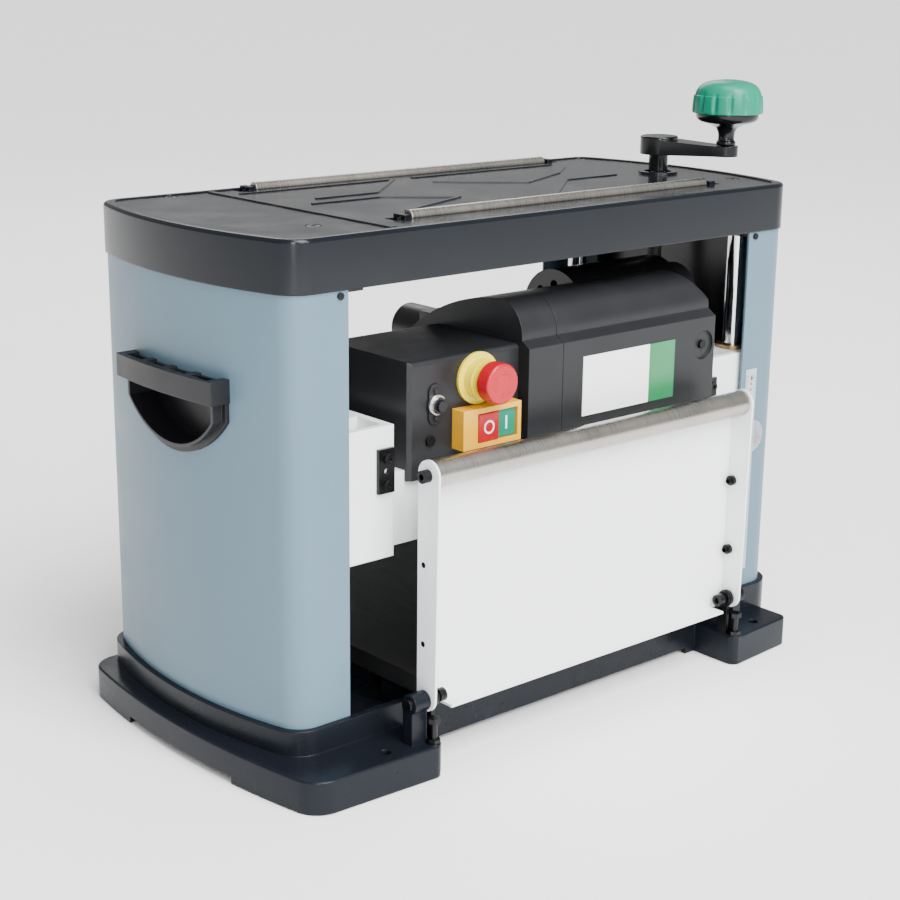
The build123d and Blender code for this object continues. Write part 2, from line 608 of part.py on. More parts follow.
with BuildPart() as bracket_screws:
    for sx in (-1, 1):
        for z in (bracket_z - 9.5, bracket_z + 9.5):
            rod_y(-head_front - 3.02, -head_front - 6.5, sx * bracket_x, z, 3.9)
            rod_y(-head_front - 5, -head_front - 9, sx * bracket_x, z, 1.9, mode=Mode.SUBTRACT)
    rod_y(-housing_front + 2, -housing_front - 0.2, 150, 272, 3.6)
    rod_y(-box_front, -box_front - 2, -132.4, 236.7, 4)

with BuildPart() as head_brackets:
    add(bracket_plates.part)
    add(bracket_screws.part)
keep(head_brackets, "head_brackets")

# ---------------------------------------------------------------- cutterhead
with BuildPart() as cutter_drum:
    rod_x(-162, 162, 0, cutter_z, cutter_r)
    for turn in (0, 180):
        with Locations(Location((0, 0, cutter_z), (turn, 0, 0)) * Location((0, 0, cutter_r - 4))):
            Box(330, 10, 12, mode=Mode.SUBTRACT)
    rod_x(-186, 196, 0, cutter_z, journal_r)

with BuildPart() as cutter_pulley:
    rod_x(belt_x0 - 1.5, belt_x1 + 1.5, 0, cutter_z, cutter_pulley_r)
    rod_x(belt_x0 - 5, belt_x1 + 5, 0, cutter_z, journal_r, mode=Mode.SUBTRACT)

with BuildPart() as cutterhead:
    add(cutter_drum.part)
    add(cutter_pulley.part)
keep(cutterhead, "cutterhead")

with BuildPart() as knives:
    for turn in (0, 180):
        with Locations(Location((0, 0, cutter_z), (turn, 0, 0)) * Location((0, 3.5, cutter_r - 3.1))):
            Box(322, 3, 10)
keep(knives, "planer_knives")

with BuildPart() as knife_clamps:
    for turn in (0, 180):
        with Locations(Location((0, 0, cutter_z), (turn, 0, 0)) * Location((0, -1.5, cutter_r - 6))):
            Box(322, 7, 8)
keep(knife_clamps, "knife_clamps")

# ---------------------------------------------------------------- feed rollers
for feed_name, sy in {"infeed": -1, "outfeed": 1}.items():
    with BuildPart() as roller:
        rod_x(-160, 160, sy * feed_y, feed_z, feed_r)
        rod_x(-188, 176.5, sy * feed_y, feed_z, journal_r)
        rod_x(-186, -182, sy * feed_y, feed_z, 12)
    keep(roller, f"{feed_name}_roller")

    with BuildPart() as blocks:
        for sx in (-1, 1):
            bar(sx * 165.4, sx * 176.6, sy * (feed_y - 9.7), sy * (feed_y + 9.7), 163.5, 187)
        rod_x(-200, 200, sy * feed_y, feed_z, journal_r + run_clear, mode=Mode.SUBTRACT)
    keep(blocks, f"{feed_name}_bearing_blocks")

with BuildPart() as feed_springs:
    for sx, sy in corners:
        rod_z(187, 200, sx * 171, sy * feed_y, 4)
        rod_z(180, 210, sx * 171, sy * feed_y, 2.4, mode=Mode.SUBTRACT)
keep(feed_springs, "feed_springs")

feed_wheels = [(-feed_y, feed_z, 12), (feed_y, feed_z, 12), (24, 207, 8)]
with BuildPart() as feed_chain:
    extrude(belt_sketch(-185, feed_wheels, 2.4), amount=2)
    extrude(belt_sketch(-185, feed_wheels, 0.6), amount=2, mode=Mode.SUBTRACT)
keep(feed_chain, "feed_chain")

with BuildPart() as feed_gearbox:
    bar(-206, -188.6, -20, 40, 170, 218)
    bar(-203.5, -191, -17.5, 37.5, 172.5, 215.5, mode=Mode.SUBTRACT)
    fillet(feed_gearbox.edges().filter_by(Axis.X), 1)
    rod_x(-210, -180, 24, 207, 4 + run_clear, mode=Mode.SUBTRACT)
keep(feed_gearbox, "feed_gearbox")

with BuildPart() as drive_sprocket:
    rod_x(-190.5, -180, 24, 207, 4)
    rod_x(-186, -182, 24, 207, 8)
keep(drive_sprocket, "feed_drive_sprocket")

# ---------------------------------------------------------------- motor and belt
with BuildPart() as motor_tube:
    rod_x(motor_x0 + 14, motor_x1 - 14, motor_y, motor_z, motor_r)
    rod_x(motor_x0, motor_x1, motor_y, motor_z, motor_r - 3, mode=Mode.SUBTRACT)

with BuildPart() as motor_ends:
    for x0, step in ((motor_x0, 1), (motor_x1, -1)):
        rod_x(x0, x0 + step * 14, motor_y, motor_z, motor_r)
        rod_x(x0 + step * 3, x0 + step * 15, motor_y, motor_z, motor_r - 3, mode=Mode.SUBTRACT)
        rod_x(x0, x0 + step * 9, motor_y, motor_z, 12)
        for vent in range(8):
            turn = 2 * pi * vent / 8
            rod_x(x0 - 4, x0 + 4, motor_y + 22 * cos(turn), motor_z + 22 * sin(turn), 4,
                  mode=Mode.SUBTRACT)
    rod_x(0, 220, motor_y, motor_z, 4 + run_clear, mode=Mode.SUBTRACT)

with BuildPart() as stator:
    rod_x(94, 142, motor_y, motor_z, motor_r - 3)
    rod_x(90, 150, motor_y, motor_z, 22, mode=Mode.SUBTRACT)

with BuildPart() as motor_housing:
    add(motor_tube.part)
    add(motor_ends.part)
    add(stator.part)
keep(motor_housing, "motor_housing")

with BuildPart() as motor_shaft:
    rod_x(58, 196, motor_y, motor_z, 4)
    rod_x(94, 142, motor_y, motor_z, 21)
    rod_x(74, 88, motor_y, motor_z, 12)
    rod_x(148, 154, motor_y, motor_z, 28)

with BuildPart() as motor_pulley:
    rod_x(belt_x0 - 1.5, belt_x1 + 1.5, motor_y, motor_z, motor_pulley_r)
    rod_x(belt_x0 - 5, belt_x1 + 5, motor_y, motor_z, 4, mode=Mode.SUBTRACT)

with BuildPart() as motor_rotor:
    add(motor_shaft.part)
    add(motor_pulley.part)
keep(motor_rotor, "motor_rotor")

pulleys = [(motor_y, motor_z, motor_pulley_r), (0, cutter_z, cutter_pulley_r)]
with BuildPart() as drive_belt:
    extrude(belt_sketch(belt_x0, pulleys, 2.9), amount=belt_x1 - belt_x0)
    extrude(belt_sketch(belt_x0, pulleys, 0.35), amount=belt_x1 - belt_x0, mode=Mode.SUBTRACT)
keep(drive_belt, "drive_belt")

with BuildPart() as belt_cover:
    extrude(belt_sketch(178.5, pulleys, 8), amount=22)
    extrude(belt_sketch(178, pulleys, 6), amount=20.5, mode=Mode.SUBTRACT)
keep(belt_cover, "belt_cover")

# ---------------------------------------------------------------- black housing on the head
def housing_profile(x, inset):
    """Section of the motor housing: flat front, shouldered top and a long falling arc behind."""
    side = Plane(origin=(x, 0, 0), x_dir=(0, 1, 0), z_dir=(1, 0, 0))
    with BuildSketch(side) as section:
        with BuildLine():
            Line((-housing_front, housing_bottom), (-housing_front, 294.5))
            Line((-housing_front, 294.5), (-120.8, 299.6))
            ThreePointArc((-120.8, 299.6), (-113.5, 320), (-98, crest_z))
            ThreePointArc((-98, crest_z), (-50, 319.5), (7, 290))
            Line((7, 290), (7, deck_top + 0.3))
            Line((7, deck_top + 0.3), (-beam_face - 0.4, deck_top + 0.3))
            Line((-beam_face - 0.4, deck_top + 0.3), (-beam_face - 0.4, housing_bottom))
            Line((-beam_face - 0.4, housing_bottom), (-housing_front, housing_bottom))
        make_face()
        if inset:
            offset(amount=-inset, kind=Kind.INTERSECTION)
    return section.sketch


def end_slope(shift):
    """Triangle that slopes the right end of the front housing, moved inwards by a shift."""
    with BuildSketch(Plane.XZ) as slope:
        with BuildLine():
            Polyline((142 - shift, 332), (190, 332), (190, 276 - shift), (142 - shift, 332))
        make_face()
    return slope.sketch


with BuildPart() as front_hollow:
    extrude(housing_profile(seam_mid - 1, 3), amount=housing_right - seam_mid - 2)
    extrude(end_slope(4), amount=200, both=True, mode=Mode.SUBTRACT)

with BuildPart() as front_housing:
    extrude(housing_profile(seam_mid, 0), amount=housing_right - seam_mid)
    extrude(end_slope(0), amount=200, both=True, mode=Mode.SUBTRACT)
    add(front_hollow.part, mode=Mode.SUBTRACT)
    rod_x(motor_x0 - 1.5, 200, motor_y, motor_z, motor_r + 1.2, mode=Mode.SUBTRACT)
    rod_y(-housing_front - 1, -housing_front + 2, 150, 272, 12, mode=Mode.SUBTRACT)
keep(front_housing, "front_housing")

with BuildPart() as middle_housing:
    extrude(housing_profile(seam_left, 0), amount=seam_mid - seam_left - 0.6)
    extrude(housing_profile(seam_left + 3, 3), amount=60, mode=Mode.SUBTRACT)
keep(middle_housing, "middle_housing")

with BuildPart() as switch_box:
    bar(box_left, seam_left - 0.4, -box_front, -20, housing_bottom, 297)
    bar(box_left - 20, seam_left + 20, -beam_face - 0.4, 0, 200, deck_top + 0.3, mode=Mode.SUBTRACT)
    chamfer(switch_box.edges().filter_by(Axis.Z).sort_by(Axis.Y)[0:1], 3)
    fillet(switch_box.edges().filter_by(Axis.X).group_by(Axis.Z)[-1], 4)
    bar(box_left + 3, seam_left - 3.4, -box_front + 3, -17, 220.5, 294, mode=Mode.SUBTRACT)
    rod_y(-box_front - 1, -box_front + 4, stop_x, stop_z, 8, mode=Mode.SUBTRACT)
keep(switch_box, "switch_box")

with BuildPart() as name_plate:
    bar(12, 115.5, -housing_front, -housing_front - 0.6, 234, 281)
keep(name_plate, "name_plate")

# ---------------------------------------------------------------- switchgear
with BuildPart() as stop_collar:
    rod_y(-box_front, -box_front - 2.5, stop_x, stop_z, 19.5)
    rod_y(-box_front - 2.5, -box_front - 11, stop_x, stop_z, 15)
    rod_y(-box_front + 1, -box_front - 20, stop_x, stop_z, 8, mode=Mode.SUBTRACT)
keep(stop_collar, "stop_collar")

with BuildPart() as stop_stem:
    rod_y(-box_front - 0.5, -box_front - 17, stop_x, stop_z, 7.6)
    rod_y(-box_front - 17, -box_front - 26, stop_x, stop_z, 4)
keep(stop_stem, "stop_stem")

with BuildPart() as stop_button:
    rod_y(-box_front - 17.3, -box_front - 29, stop_x, stop_z, 15.2)
    fillet(stop_button.edges().sort_by(Axis.Y)[0], 2)
    rod_y(-box_front - 10, -box_front - 26.3, stop_x, stop_z, 4 + run_clear, mode=Mode.SUBTRACT)
keep(stop_button, "stop_button")

frame_x0, frame_x1, frame_z0, frame_z1 = -111.0, -54.0, 227.5, 257.5
frame_front = 131.0
with BuildPart() as switch_frame:
    bar(frame_x0, frame_x1, -box_front, -frame_front, frame_z0, frame_z1)
    bar(-97, -57.5, -box_front - 3, -140, frame_z0 + 4, frame_z1 - 4, mode=Mode.SUBTRACT)
keep(switch_frame, "switch_frame")

button_z0, button_z1 = frame_z0 + 4.4, frame_z1 - 4.4
with BuildPart() as off_button:
    bar(-96.6, -77.0, -box_front - 6, -frame_front - 1, button_z0, button_z1)
    fillet(off_button.faces().sort_by(Axis.Y)[0].edges(), 0.8)
keep(off_button, "off_button")

with BuildPart() as on_button:
    bar(-76.4, -57.9, -box_front - 6, -frame_front + 2, button_z0, button_z1)
    fillet(on_button.faces().sort_by(Axis.Y)[0].edges(), 0.8)
keep(on_button, "on_button")

breaker_x, breaker_z = -127.7, 263.4
with BuildPart() as breaker_body:
    with BuildSketch(Plane(origin=(0, -box_front, 0), x_dir=(1, 0, 0), z_dir=(0, -1, 0))):
        with Locations((breaker_x, breaker_z)):
            SlotCenterToCenter(18, 13, rotation=90)
    extrude(amount=1.5)
    rod_y(-box_front - 1.5, -box_front - 7, breaker_x, breaker_z, 6)
    rod_y(-box_front + 1, -box_front - 20, breaker_x, breaker_z, 4.2, mode=Mode.SUBTRACT)
    for dz in (-10, 10):
        rod_y(-box_front - 1.5, -box_front - 2.8, breaker_x, breaker_z + dz, 2.2)
keep(breaker_body, "breaker_body")

with BuildPart() as breaker_button:
    rod_y(-box_front - 2, -box_front - 9.5, breaker_x, breaker_z, 4.1)
keep(breaker_button, "breaker_button")

# ---------------------------------------------------------------- dust hood and pointer
port_x, port_z, port_r = 60.0, 256.4, 20.0
with BuildPart() as dust_hood:
    bar(-124, 124, 26, 92, deck_top, 257)
    fillet(dust_hood.edges().filter_by(Axis.X).sort_by(Axis.Z)[-2:], 8)
    # raised box that carries the port above the folded table
    bar(port_x - 26, port_x + 26, 40, 92, 240, 279.5)
    bar(-121, 121, 29, 89, 210, 254, mode=Mode.SUBTRACT)
    bar(port_x - 23, port_x + 23, 43, 89, 240, 276.5, mode=Mode.SUBTRACT)
    rod_y(89, 138, port_x, port_z, port_r)
    rod_y(88.9, 140, port_x, port_z, port_r - 2.5, mode=Mode.SUBTRACT)
keep(dust_hood, "dust_hood")

with BuildPart() as scale_pointer:
    bar(205, 222, -125.2, -127.2, 168, 196)
    rod_y(-125.2, -127.2, 222, 182, 14)
    bar(196, 205, -120.2, -127.2, 176, 190)
    bar(190, 198, -head_front, -120.4, 176, 190)
    bar(196, 198, -120.4, -122, 176, 190)
keep(scale_pointer, "scale_pointer")

print("parts written:", len(os.listdir("parts")))
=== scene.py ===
"""Looks of a thickness planer: materials for every part, fine details, floor, light and camera."""

import json
from math import cos, pi, radians, sin

import bpy
from mathutils import Matrix, Vector


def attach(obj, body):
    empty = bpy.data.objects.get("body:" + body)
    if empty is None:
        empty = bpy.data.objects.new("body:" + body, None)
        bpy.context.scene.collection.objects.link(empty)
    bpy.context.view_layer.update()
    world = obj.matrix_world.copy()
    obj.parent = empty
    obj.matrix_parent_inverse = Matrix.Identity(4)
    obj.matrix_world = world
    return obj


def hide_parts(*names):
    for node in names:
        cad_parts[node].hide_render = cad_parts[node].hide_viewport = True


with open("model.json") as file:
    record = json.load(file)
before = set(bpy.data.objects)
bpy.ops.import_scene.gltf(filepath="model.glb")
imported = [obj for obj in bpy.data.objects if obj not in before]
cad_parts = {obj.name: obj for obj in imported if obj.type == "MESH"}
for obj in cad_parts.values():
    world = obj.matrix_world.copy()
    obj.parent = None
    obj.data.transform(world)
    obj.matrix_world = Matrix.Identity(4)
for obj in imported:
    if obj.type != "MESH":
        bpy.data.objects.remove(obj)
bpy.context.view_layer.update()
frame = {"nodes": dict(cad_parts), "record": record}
nodes = frame["nodes"]
slot_of = {s["node"]: s["material_slot"] for s in frame["record"]["subparts"]}


# ---------------------------------------------------------------- camera
yaw, pitch, roll = radians(41.094), radians(15.752), radians(0.661)
forward = Vector((sin(yaw) * cos(pitch), cos(yaw) * cos(pitch), -sin(pitch)))
level = Vector((cos(yaw), -sin(yaw), 0))
above = level.cross(forward)
cam_x = level * cos(roll) + above * sin(roll)
cam_y = above * cos(roll) - level * sin(roll)
camera = bpy.data.objects.new("camera", bpy.data.cameras.new("camera"))
bpy.context.scene.collection.objects.link(camera)
camera.matrix_world = Matrix.Translation((-0.93255, -1.05807, 0.57831)) @ Matrix(
    (cam_x, cam_y, -forward)).transposed().to_4x4()
camera.data.lens = 70.72
camera.data.sensor_width = 36
bpy.context.scene.camera = camera


# ---------------------------------------------------------------- material building
class Surface:
    """A Principled material with helpers for adding its detail nodes."""

    def __init__(self, name):
        self.material = bpy.data.materials.new(name)
        self.material.use_nodes = True
        self.tree = self.material.node_tree
        self.shader = self.tree.nodes["Principled BSDF"]
        self.place = self.tree.nodes.new("ShaderNodeTexCoord").outputs["Object"]
        self.normal = None

    def node(self, kind, settings=(), **links):
        made = self.tree.nodes.new(kind)
        for key, value in dict(settings).items():
            setattr(made, key, value)
        for key, value in links.items():
            self.feed(made.inputs[key.replace("_", " ")], value)
        return made

    def feed(self, socket, value):
        if isinstance(value, bpy.types.NodeSocket):
            self.tree.links.new(value, socket)
        else:
            socket.default_value = value

    def stretch(self, scale):
        """Object coordinates scaled along each axis."""
        return self.node("ShaderNodeMapping", Vector=self.place, Scale=scale).outputs["Vector"]

    def noise(self, scale, detail=3.0, rough=0.55, stretch=None, seed=0.0):
        vector = self.stretch(stretch) if stretch else self.place
        made = self.node("ShaderNodeTexNoise", {"noise_dimensions": "4D"}, Vector=vector,
                         Scale=scale, Detail=detail, Roughness=rough, W=seed)
        return made.outputs["Fac"]

    def ramp(self, value, low, high, to_low, to_high):
        made = self.node("ShaderNodeMapRange", {"clamp": True}, Value=value)
        for key, number in (("From Min", low), ("From Max", high), ("To Min", to_low), ("To Max", to_high)):
            self.feed(made.inputs[key], number)
        return made.outputs["Result"]

    def math(self, operation, first, second):
        made = self.node("ShaderNodeMath", {"operation": operation})
        self.feed(made.inputs[0], first)
        self.feed(made.inputs[1], second)
        return made.outputs[0]

    def mix(self, factor, first, second):
        made = self.node("ShaderNodeMix", {"data_type": "RGBA"})
        self.feed(made.inputs["Factor"], factor)
        self.feed(made.inputs["A"], first)
        self.feed(made.inputs["B"], second)
        return made.outputs["Result"]

    def rounded(self, radius):
        """Softens the shading of edges, as a small real radius does."""
        self.normal = self.node("ShaderNodeBevel", {"samples": 6}, Radius=radius).outputs["Normal"]

    def bump(self, height, distance, strength=1.0):
        made = self.node("ShaderNodeBump", Height=height, Distance=distance, Strength=strength)
        if self.normal is not None:
            self.tree.links.new(self.normal, made.inputs["Normal"])
        self.normal = made.outputs["Normal"]

    def edge_mask(self, radius, low=0.90, high=0.995):
        """1 on sharp edges, 0 on flat faces, broken up by noise."""
        bevel = self.node("ShaderNodeBevel", {"samples": 6}, Radius=radius).outputs["Normal"]
        flat = self.node("ShaderNodeNewGeometry").outputs["True Normal"]
        made = self.node("ShaderNodeVectorMath", {"operation": "DOT_PRODUCT"})
        self.tree.links.new(bevel, made.inputs[0])
        self.tree.links.new(flat, made.inputs[1])
        edge = self.ramp(made.outputs["Value"], low, high, 1.0, 0.0)
        return self.math("MULTIPLY", edge, self.ramp(self.noise(60, 4), 0.42, 0.62, 0.15, 1.0))

    def done(self, color, roughness, **fixed):
        self.feed(self.shader.inputs["Base Color"], color)
        self.feed(self.shader.inputs["Roughness"], roughness)
        for key, value in fixed.items():
            self.shader.inputs[key.replace("_", " ")].default_value = value
        if self.normal is not None:
            self.tree.links.new(self.normal, self.shader.inputs["Normal"])
        return self.material


def rgb(r, g, b):
    return (r, g, b, 1.0)


def shade(color, factor):
    return tuple(min(1.0, c * factor) for c in color[:3]) + (1.0,)


def painted(name, color, rough, peel=0.00004, round_edge=0.0006, wear=None, coat=0.0, mottle=0.06,
            sheen=0.5):
    """Sprayed or powder-coated metal: faint orange peel, cloudy tone, edges rubbed a little."""
    s = Surface(name)
    cloud = s.noise(9, 4, seed=1.0)
    tone = s.mix(s.ramp(cloud, 0.3, 0.7, 0, 1), shade(color, 1 - mottle), shade(color, 1 + mottle))
    specks = s.ramp(s.noise(420, 2, seed=3.0), 0.66, 0.72, 0, 0.35)
    tone = s.mix(specks, tone, shade(color, 0.82))
    if wear:
        tone = s.mix(s.edge_mask(0.0008), tone, wear)
    s.rounded(round_edge)
    s.bump(s.noise(700, 2, seed=2.0), peel)
    gloss = s.ramp(s.noise(24, 5, seed=5.0), 0.3, 0.7, rough - 0.04, rough + 0.05)
    return s.done(tone, gloss, Coat_Weight=coat, Coat_Roughness=0.18, Specular_IOR_Level=sheen)


def moulded(name, color, rough, grain=900.0, depth=0.00005, round_edge=0.0008, coat=0.0, scuff=0.0,
             sheen=0.5):
    """Moulded plastic: spark-eroded grain, slight tone drift, faint handling scuffs, edges lightened as a
    painted highlight.
    """
    s = Surface(name)
    tone = s.mix(s.ramp(s.noise(14, 4), 0.3, 0.7, 0, 1), shade(color, 0.90), shade(color, 1.10))
    streak = s.ramp(s.noise(38, 6, 0.7, stretch=(1.0, 1.0, 5.0), seed=4.0), 0.60, 0.74, 0, scuff)
    tone = s.mix(streak, tone, shade(color, 1.9))
    # Edges lightened by half: painted highlight along the rounded edges.
    tone = s.mix(s.edge_mask(0.0007), tone, shade(color, 1.5))
    s.rounded(round_edge)
    s.bump(s.noise(grain, 3, 0.6, seed=2.0), depth)
    gloss = s.ramp(s.noise(30, 5, seed=6.0), 0.3, 0.7, rough - 0.05, rough + 0.07)
    return s.done(tone, gloss, Coat_Weight=coat, Coat_Roughness=0.08, Specular_IOR_Level=sheen)


def metal(name, color, rough, along, fine=900.0, depth=0.000012, round_edge=0.0004, stain=0.12):
    """Machined or ground metal. along stretches the tool marks: a large factor packs them on that axis."""
    s = Surface(name)
    marks = s.noise(1.0, 4, 0.65, stretch=tuple(fine * a for a in along), seed=1.0)
    cloud = s.ramp(s.noise(16, 5, 0.6, seed=7.0), 0.3, 0.7, 0, 1)
    tone = s.mix(cloud, shade(color, 1 - stain), shade(color, 1 + stain * 0.6))
    tone = s.mix(s.ramp(marks, 0.35, 0.7, 0.0, 0.35), tone, shade(color, 0.72))
    s.rounded(round_edge)
    s.bump(marks, depth)
    marked = s.ramp(marks, 0.3, 0.7, rough - 0.05, rough + 0.08)
    gloss = s.math("ADD", marked, s.ramp(cloud, 0, 1, -0.03, 0.04))
    return s.done(tone, gloss, Metallic=1.0)


def threaded(name, color, pitch):
    """Ground screw with its thread as bands of bump, its grooves darkened as painted shade."""
    s = Surface(name)
    vector = s.stretch((1.0, 1.0, 1.0))
    wave = s.node("ShaderNodeTexWave", {"wave_type": "BANDS", "bands_direction": "Z", "wave_profile": "TRI"},
                  Vector=vector, Scale=pi / 10 / pitch, Distortion=0.0).outputs["Fac"]
    grease = s.ramp(s.noise(40, 4), 0.45, 0.65, 0, 1)
    tone = s.mix(grease, color, shade(color, 0.45))
    # Groove bottoms darker: painted shade in the thread roots.
    tone = s.mix(s.ramp(wave, 0.0, 0.35, 0.7, 0.0), tone, shade(color, 0.25))
    s.bump(wave, 0.0006)
    return s.done(tone, s.ramp(s.noise(60, 3), 0.3, 0.7, 0.25, 0.42), Metallic=1.0)


def printed_label():
    """Blank two-colour label: satin white film with a green field at its right end."""
    s = Surface("label_film")
    axes = s.node("ShaderNodeSeparateXYZ", Vector=s.place)
    green = s.ramp(axes.outputs["X"], 0.0859, 0.0861, 0.0, 1.0)
    film = s.mix(s.ramp(s.noise(20, 3), 0.3, 0.7, 0, 1), rgb(0.80, 0.83, 0.82), rgb(0.86, 0.88, 0.87))
    leaf = s.mix(s.ramp(s.noise(25, 3), 0.3, 0.7, 0, 1), rgb(0.006, 0.150, 0.048), rgb(0.010, 0.190, 0.064))
    s.bump(s.noise(900, 2), 0.00001)
    return s.done(s.mix(green, film, leaf), s.ramp(s.noise(18, 4), 0.3, 0.7, 0.26, 0.38), Coat_Weight=0.4,
                  Coat_Roughness=0.2)


def clear_plastic():
    """Clear lens with faint moulding ripple."""
    s = Surface("lens_clear")
    s.rounded(0.0005)
    s.bump(s.noise(120, 2), 0.00002)
    tint = s.mix(s.ramp(s.noise(30, 2), 0.3, 0.7, 0, 1), rgb(0.90, 0.94, 0.95), rgb(0.96, 0.98, 0.98))
    return s.done(tint, s.ramp(s.noise(40, 3), 0.3, 0.7, 0.04, 0.10), Transmission_Weight=0.9, IOR=1.49)


ALL_WAYS = (1.0, 1.0, 1.0)
TURNED_X = (1.0, 0.02, 0.02)
looks = {
    "blue_paint": painted("blue_paint", rgb(0.098, 0.160, 0.205), 0.34, peel=0.00002, mottle=0.03,
                          sheen=0.3),
    "base_black": painted("base_black", rgb(0.0060, 0.0076, 0.0112), 0.28, peel=0.00006, round_edge=0.0014,
                          mottle=0.15, sheen=0.16),
    "cap_gloss": moulded("cap_gloss", rgb(0.0050, 0.0064, 0.0088), 0.16, grain=500, depth=0.000015,
                         round_edge=0.0014, sheen=0.26),
    "housing_dark": moulded("housing_dark", rgb(0.0110, 0.0115, 0.0132), 0.36, scuff=0.05, sheen=0.32),
    "black_plastic": moulded("black_plastic", rgb(0.0075, 0.0075, 0.0092), 0.34, round_edge=0.0008,
                              scuff=0.04, sheen=0.3),
    "motor_black": painted("motor_black", rgb(0.0040, 0.0040, 0.0046), 0.24, peel=0.00002, coat=0.1,
                           sheen=0.3),
    "white_coat": painted("white_coat", rgb(0.80, 0.815, 0.82), 0.36, peel=0.00003,
                          wear=rgb(0.55, 0.55, 0.53), mottle=0.015, coat=0.1),
    "white_cast": painted("white_cast", rgb(0.77, 0.785, 0.79), 0.40, peel=0.00012, round_edge=0.001,
                          mottle=0.02),
    "steel": metal("steel", rgb(0.47, 0.445, 0.405), 0.27, TURNED_X, depth=0.000006),
    "dark_steel": metal("dark_steel", rgb(0.030, 0.030, 0.032), 0.34, ALL_WAYS, fine=500),
    "chrome": metal("chrome", rgb(0.70, 0.71, 0.73), 0.10, (0.2, 0.2, 1.0), depth=0.000003, stain=0.04),
    "zinc": metal("zinc", rgb(0.56, 0.56, 0.54), 0.30, ALL_WAYS, fine=400),
    "bronze": metal("bronze", rgb(0.42, 0.28, 0.13), 0.34, ALL_WAYS, fine=500),
    "rubber": moulded("rubber", rgb(0.010, 0.010, 0.010), 0.62, grain=1500, depth=0.0001, round_edge=0.001),
    "green_plastic": moulded("green_plastic", rgb(0.002, 0.175, 0.105), 0.30, grain=1200, depth=0.00002,
                              sheen=0.25),
    "red_plastic": moulded("red_plastic", rgb(0.36, 0.004, 0.012), 0.28, grain=1200, depth=0.00002, coat=0.1,
                            sheen=0.35),
    "yellow_plastic": moulded("yellow_plastic", rgb(0.70, 0.34, 0.010), 0.32, grain=1200, depth=0.00002,
                               coat=0.1),
    "label": printed_label(),
    "scale_film": painted("scale_film", rgb(0.36, 0.42, 0.46), 0.30, peel=0.00001, mottle=0.02),
    "lens": clear_plastic(),
    "arm_black": painted("arm_black", rgb(0.0040, 0.0048, 0.0054), 0.15, peel=0.00001, round_edge=0.001,
                         coat=0.1, sheen=0.25),
    "collar_yellow": moulded("collar_yellow", rgb(0.72, 0.58, 0.010), 0.30, grain=1200, depth=0.00002,
                              coat=0.2),
    "bed_steel": metal("bed_steel", rgb(0.20, 0.20, 0.20), 0.38, (1.0, 0.05, 1.0), depth=0.000006, stain=0.1),
}
own_look = {"crank_arm": "arm_black", "stop_collar": "collar_yellow", "bed_plate": "bed_steel"}
white_print = painted("white_print", rgb(0.80, 0.80, 0.79), 0.45, peel=0.00001)
dark_print = painted("dark_print", rgb(0.02, 0.02, 0.022), 0.45, peel=0.00001)
red_print = painted("red_print", rgb(0.55, 0.02, 0.025), 0.40, peel=0.00001)
thread = threaded("lead_screw_thread", rgb(0.40, 0.39, 0.37), 0.002)

for name, piece in nodes.items():
    look = thread if name.endswith("lead_screw") else looks[own_look.get(name, slot_of[name])]
    piece.data.materials.clear()
    piece.data.materials.append(look)
    for face in piece.data.polygons:
        face.use_smooth = True
    weld = piece.modifiers.new("weld", "WELD")
    weld.merge_threshold = 0.000002
    split = piece.modifiers.new("split", "EDGE_SPLIT")
    split.split_angle = radians(28)


# ---------------------------------------------------------------- mesh building
def piece_of(name, points, faces, body, look, slot=None, replaces=(), smooth=True):
    """Makes a mesh piece from points in metres and hands it to its body."""
    mesh = bpy.data.meshes.new(name)
    mesh.from_pydata([tuple(p) for p in points], [], faces)
    mesh.validate()
    mesh.materials.append(look)
    for face in mesh.polygons:
        face.use_smooth = smooth
    made = bpy.data.objects.new(name, mesh)
    bpy.context.scene.collection.objects.link(made)
    if smooth:
        split = made.modifiers.new("split", "EDGE_SPLIT")
        split.split_angle = radians(32)
    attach(made, body)
    if replaces:
        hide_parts(*replaces)
    return made


def turned(name, profile, place, axis, body, look, steps=96, waist=None, **more):
    """Turned piece: profile is (radius, height) in mm along the axis, waist(turn, height) scales the radius.

    A profile that ends on the radius it starts on leaves a bore; any other is closed by end faces.
    """
    out = Vector(axis).normalized()
    side = out.orthogonal().normalized()
    across = out.cross(side)
    points, faces = [], []
    for radius, height in profile:
        for step in range(steps):
            turn = 2 * pi * step / steps
            reach = radius * (waist(turn, height) if waist else 1.0) / 1000
            points.append(Vector(place) + out * height / 1000 + side * cos(turn) * reach
                          + across * sin(turn) * reach)
    bored = profile[0][0] == profile[-1][0]
    for ring in range(len(profile) if bored else len(profile) - 1):
        for step in range(steps):
            after = (step + 1) % steps
            low, high = ring * steps, (ring + 1) % len(profile) * steps
            faces.append((low + step, low + after, high + after, high + step))
    if not bored:
        faces.append(tuple(reversed(range(steps))))
        faces.append(tuple(range((len(profile) - 1) * steps, len(profile) * steps)))
    return piece_of(name, points, faces, body, look, **more)


def box_points(x0, x1, z0, z1):
    return [(x0, z0), (x1, z0), (x1, z1), (x0, z1)]


def arc_points(x, z, radius, start, stop, steps=24):
    return [(x + radius * cos(radians(start + (stop - start) * i / steps)),
             z + radius * sin(radians(start + (stop - start) * i / steps))) for i in range(steps + 1)]


def many_slabs(name, outlines, y_back, y_front, body, look, **more):
    """Several front slabs in one mesh."""
    points, faces = [], []
    for outline in outlines:
        base, count = len(points), len(outline)
        points += [Vector((u, y, v)) / 1000 for y in (y_back, y_front) for u, v in outline]
        faces.append(tuple(base + i for i in range(count)))
        faces.append(tuple(base + count + i for i in reversed(range(count))))
        faces += [(base + (i + 1) % count, base + i, base + count + i, base + count + (i + 1) % count)
                  for i in range(count)]
    return piece_of(name, points, faces, body, look, smooth=False, **more)


